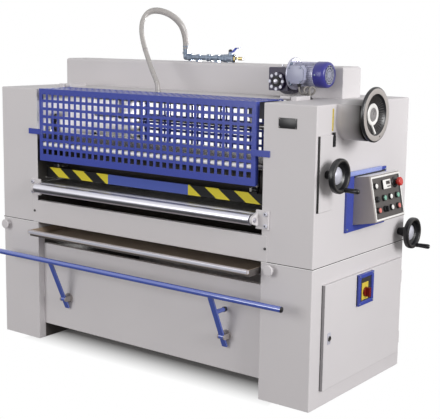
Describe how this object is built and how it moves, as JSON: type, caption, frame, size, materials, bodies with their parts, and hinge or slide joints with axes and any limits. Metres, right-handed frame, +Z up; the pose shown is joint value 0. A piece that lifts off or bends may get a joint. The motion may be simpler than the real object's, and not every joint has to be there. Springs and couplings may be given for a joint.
{
  "type": "glue spreader",
  "caption": "Floor-standing roller glue spreader with a lifting upper carriage, dosing rollers, hinged mesh guards, kick bar, drip tray and operator console.",
  "frame": {"origin": "on the floor, at the centre of the anchor-hole pattern between the pedestals", "axes": "+X along the rollers towards the operator console, +Y from infeed to outfeed, +Z up"},
  "size_m": [2.093, 1.0214, 1.7487],
  "materials": {
    "grey_paint": "satin",
    "blue_paint": "satin",
    "indigo_paint": "gloss",
    "steel": "machined",
    "stainless": "brushed",
    "chrome": "polished",
    "iron": "cast",
    "aluminium": "cast",
    "black_plastic": "matte",
    "grey_plastic": "matte",
    "red_plastic": "gloss",
    "green_plastic": "gloss",
    "hose": "clear",
    "cable": "matte"
  },
  "bodies": {
    "frame": {"left_pedestal": "grey_paint", "right_pedestal": "grey_paint", "left_housing": "grey_paint", "right_housing": "grey_paint", "side_frames": "steel", "cover_panels": "grey_paint", "feed_plates": "stainless", "top_beam": "grey_paint", "lift_gearbox": "indigo_paint", "lift_motor": "aluminium", "motor_cable": "cable", "supply_line": "steel", "glue_hose": "hose", "glue_manifold": "stainless", "roller_brackets": "grey_paint", "roller_bearings": "iron", "lift_angle_boxes": "iron", "lower_drive_motor": "indigo_paint", "handwheel_housing": "grey_paint", "console_frame": "blue_paint", "console_box": "grey_paint", "kick_bar_brackets": "grey_paint", "switchgear": "grey_plastic", "guard_hinges": "grey_paint", "fasteners_and_glands": "steel"},
    "carriage": {"lift_slides": "steel", "carriage_beam": "steel", "slot_cover": "grey_paint", "upper_drive_motor": "indigo_paint"},
    "upper_doctor_carrier": {"upper_doctor_blocks": "steel"},
    "lower_doctor_carrier": {"lower_doctor_blocks": "steel"},
    "upper_glue_roller": {"upper_glue_roller": "steel"},
    "upper_doctor_roller": {"upper_doctor_roller": "chrome"},
    "lower_glue_roller": {"lower_glue_roller": "steel"},
    "lower_doctor_roller": {"lower_doctor_roller": "chrome"},
    "infeed_roller": {"infeed_roller": "chrome"},
    "outfeed_roller": {"outfeed_roller": "chrome"},
    "front_guard": {"front_guard": "blue_paint"},
    "rear_guard": {"rear_guard": "blue_paint"},
    "safety_bar": {"safety_bar": "blue_paint"},
    "kick_bar": {"kick_bar": "blue_paint"},
    "drip_tray": {"drip_tray": "stainless"},
    "cabinet_door": {"cabinet_door": "grey_paint"},
    "main_switch_knob": {"main_switch_knob": "red_plastic"},
    "door_lock": {"door_lock": "chrome"},
    "lift_handwheel": {"lift_handwheel": "aluminium"},
    "left_lift_screw": {"left_lift_screw": "steel"},
    "right_lift_screw": {"right_lift_screw": "steel"},
    "lift_motor_gear": {"lift_motor_gear": "steel"},
    "lift_drive_shaft": {"lift_drive_shaft": "steel"},
    "upper_dosing_handwheel": {"upper_dosing_handwheel": "aluminium"},
    "lower_dosing_handwheel": {"lower_dosing_handwheel": "aluminium"},
    "emergency_stop": {"emergency_stop": "red_plastic"},
    "selector_switch": {"selector_switch": "black_plastic"},
    "valve_lever": {"valve_lever": "blue_paint"},
    "black_button": {"black_button": "black_plastic"},
    "upper_green_button": {"upper_green_button": "green_plastic"},
    "lower_green_button": {"lower_green_button": "green_plastic"},
    "left_red_button": {"left_red_button": "red_plastic"},
    "right_red_button": {"right_red_button": "red_plastic"}
  },
  "joints": [
    {"name": "carriage_lift", "type": "slide", "parent": "frame", "child": "carriage", "axis": [0, 0, 1], "range_m": [0, 0.09]},
    {"name": "lift_handwheel_spin", "type": "hinge", "parent": "frame", "child": "lift_handwheel", "pos_m": [0, -0.18, 1.2875], "axis": [1, 0, 0], "range_deg": [0, 5400]},
    {"name": "left_screw_spin", "type": "hinge", "parent": "frame", "child": "left_lift_screw", "pos_m": [-0.81, -0.18, 1.15], "axis": [0, 0, 1], "range_deg": [0, 5400]},
    {"name": "right_screw_spin", "type": "hinge", "parent": "frame", "child": "right_lift_screw", "pos_m": [0.81, -0.18, 1.15], "axis": [0, 0, 1], "range_deg": [-5400, 0]},
    {"name": "drive_shaft_spin", "type": "hinge", "parent": "frame", "child": "lift_drive_shaft", "pos_m": [0.534, 0, 1.2875], "axis": [0, 1, 0], "range_deg": [0, 5400]},
    {"name": "motor_gear_spin", "type": "hinge", "parent": "frame", "child": "lift_motor_gear", "pos_m": [0.534, 0, 1.404], "axis": [0, 1, 0], "range_deg": [-5400, 0]},
    {"name": "upper_glue_spin", "type": "hinge", "parent": "carriage", "child": "upper_glue_roller", "pos_m": [0, 0, 0.958], "axis": [1, 0, 0], "continuous": true},
    {"name": "upper_dosing", "type": "slide", "parent": "carriage", "child": "upper_doctor_carrier", "axis": [0, -1, 0], "range_m": [0, 0.004]},
    {"name": "upper_doctor_spin", "type": "hinge", "parent": "upper_doctor_carrier", "child": "upper_doctor_roller", "pos_m": [0, -0.1805, 0.958], "axis": [1, 0, 0], "continuous": true},
    {"name": "upper_dosing_spin", "type": "hinge", "parent": "carriage", "child": "upper_dosing_handwheel", "pos_m": [0, -0.35, 1.036], "axis": [1, 0, 0], "range_deg": [0, 720]},
    {"name": "lower_glue_spin", "type": "hinge", "parent": "frame", "child": "lower_glue_roller", "pos_m": [0, 0, 0.746], "axis": [1, 0, 0], "continuous": true},
    {"name": "lower_dosing", "type": "slide", "parent": "frame", "child": "lower_doctor_carrier", "axis": [0, 1, 0], "range_m": [0, 0.004]},
    {"name": "lower_doctor_spin", "type": "hinge", "parent": "lower_doctor_carrier", "child": "lower_doctor_roller", "pos_m": [0, 0.1805, 0.746], "axis": [1, 0, 0], "continuous": true},
    {"name": "lower_dosing_spin", "type": "hinge", "parent": "frame", "child": "lower_dosing_handwheel", "pos_m": [0, 0.37, 0.685], "axis": [1, 0, 0], "range_deg": [0, 720]},
    {"name": "infeed_spin", "type": "hinge", "parent": "frame", "child": "infeed_roller", "pos_m": [0, -0.463, 0.821], "axis": [1, 0, 0], "continuous": true},
    {"name": "outfeed_spin", "type": "hinge", "parent": "frame", "child": "outfeed_roller", "pos_m": [0, 0.463, 0.821], "axis": [1, 0, 0], "continuous": true},
    {"name": "front_guard_hinge", "type": "hinge", "parent": "frame", "child": "front_guard", "pos_m": [0, -0.21, 1.339], "axis": [-1, 0, 0], "range_deg": [0, 85]},
    {"name": "rear_guard_hinge", "type": "hinge", "parent": "frame", "child": "rear_guard", "pos_m": [0, 0.245, 1.339], "axis": [1, 0, 0], "range_deg": [0, 85]},
    {"name": "safety_bar_hinge", "type": "hinge", "parent": "carriage", "child": "safety_bar", "pos_m": [0, -0.364, 0.935], "axis": [1, 0, 0], "range_deg": [0, 15]},
    {"name": "kick_bar_hinge", "type": "hinge", "parent": "frame", "child": "kick_bar", "pos_m": [0, -0.42, 0.248], "axis": [-1, 0, 0], "range_deg": [0, 4.5]},
    {"name": "drip_tray_slide", "type": "slide", "parent": "frame", "child": "drip_tray", "axis": [0, -1, 0], "range_m": [0, 0.35]},
    {"name": "cabinet_door_hinge", "type": "hinge", "parent": "frame", "child": "cabinet_door", "pos_m": [0.979, 0.394, 0.3], "axis": [0, 0, 1], "range_deg": [0, 110]},
    {"name": "main_switch_turn", "type": "hinge", "parent": "cabinet_door", "child": "main_switch_knob", "pos_m": [0.99, 0.007, 0.46], "axis": [1, 0, 0], "range_deg": [0, 90]},
    {"name": "door_lock_turn", "type": "hinge", "parent": "cabinet_door", "child": "door_lock", "pos_m": [0.986, -0.297, 0.307], "axis": [1, 0, 0], "range_deg": [0, 90]},
    {"name": "selector_turn", "type": "hinge", "parent": "frame", "child": "selector_switch", "pos_m": [1.08458, -0.013, 0.85785], "axis": [0.9816, 0, 0.1908], "range_deg": [-45, 45]},
    {"name": "valve_lever_turn", "type": "hinge", "parent": "frame", "child": "valve_lever", "pos_m": [0.112, 0.14, 1.528], "axis": [0, 0, 1], "range_deg": [0, 90]},
    {"name": "emergency_stop_push", "type": "slide", "parent": "frame", "child": "emergency_stop", "axis": [-0.9816, 0, -0.1908], "range_m": [0, 0.006], "stiffness_N_per_m": 1200},
    {"name": "black_button_push", "type": "slide", "parent": "frame", "child": "black_button", "axis": [-0.9816, 0, -0.1908], "range_m": [0, 0.004], "stiffness_N_per_m": 600},
    {"name": "upper_green_button_push", "type": "slide", "parent": "frame", "child": "upper_green_button", "axis": [-0.9816, 0, -0.1908], "range_m": [0, 0.004], "stiffness_N_per_m": 600},
    {"name": "lower_green_button_push", "type": "slide", "parent": "frame", "child": "lower_green_button", "axis": [-0.9816, 0, -0.1908], "range_m": [0, 0.004], "stiffness_N_per_m": 600},
    {"name": "left_red_button_push", "type": "slide", "parent": "frame", "child": "left_red_button", "axis": [-0.9816, 0, -0.1908], "range_m": [0, 0.004], "stiffness_N_per_m": 600},
    {"name": "right_red_button_push", "type": "slide", "parent": "frame", "child": "right_red_button", "axis": [-0.9816, 0, -0.1908], "range_m": [0, 0.004], "stiffness_N_per_m": 600}
  ],
  "couplings": [
    {"joint": "lift_handwheel_spin", "follows": "carriage_lift", "rad_per_m": 1047.2},
    {"joint": "left_screw_spin", "follows": "carriage_lift", "rad_per_m": 1047.2},
    {"joint": "right_screw_spin", "follows": "carriage_lift", "rad_per_m": -1047.2},
    {"joint": "drive_shaft_spin", "follows": "carriage_lift", "rad_per_m": 1047.2},
    {"joint": "motor_gear_spin", "follows": "carriage_lift", "rad_per_m": -1047.2},
    {"joint": "upper_doctor_spin", "follows": "upper_glue_spin", "ratio": -1.25},
    {"joint": "lower_doctor_spin", "follows": "lower_glue_spin", "ratio": -1.25},
    {"joint": "upper_dosing_spin", "follows": "upper_dosing", "rad_per_m": 3141.5},
    {"joint": "lower_dosing_spin", "follows": "lower_dosing", "rad_per_m": 3141.5}
  ]
}
